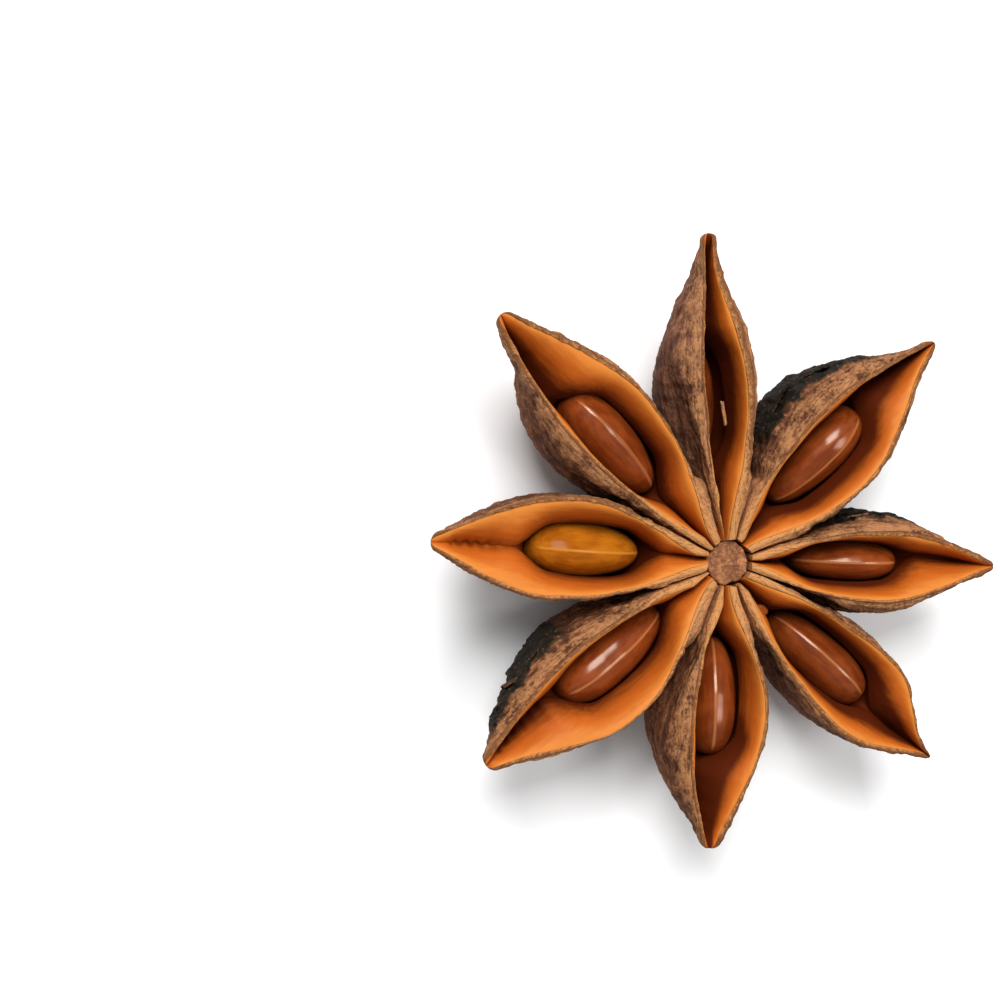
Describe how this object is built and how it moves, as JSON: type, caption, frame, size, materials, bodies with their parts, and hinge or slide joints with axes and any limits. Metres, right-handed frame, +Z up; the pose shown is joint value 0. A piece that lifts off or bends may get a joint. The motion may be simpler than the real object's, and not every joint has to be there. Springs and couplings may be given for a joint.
{
  "type": "star anise pod",
  "caption": "Dried star-shaped spice fruit lying with its mouths up: boat-shaped woody carpels round a short column, each split open over one glossy seed.",
  "frame": {"origin": "centre of the column's foot, on the surface that the fruit lies on", "axes": "+Z up, out of the open mouths; +X and +Y in the plane of the star, +X close to the line of carpel_e and +Y close to the line of carpel_n"},
  "size_m": [0.0307, 0.032, 0.0081],
  "materials": {
    "columella_wood": "rough, fibrous and dry",
    "carpel_wood": "wrinkled grey-brown skin outside, satin caramel lining inside",
    "seed_coat": "hard, polished and glossy chestnut",
    "seed_coat_amber": "hard, polished and glossy amber"
  },
  "bodies": {
    "root": {"columella": "columella_wood", "carpel_n": "carpel_wood", "carpel_nw": "carpel_wood", "carpel_w": "carpel_wood", "carpel_sw": "carpel_wood", "carpel_s": "carpel_wood", "carpel_se": "carpel_wood", "carpel_e": "carpel_wood", "carpel_ne": "carpel_wood", "seed_n": "seed_coat", "seed_nw": "seed_coat", "seed_w": "seed_coat_amber", "seed_sw": "seed_coat", "seed_s": "seed_coat", "seed_se": "seed_coat", "seed_e": "seed_coat", "seed_ne": "seed_coat"}
  },
  "joints": []
}
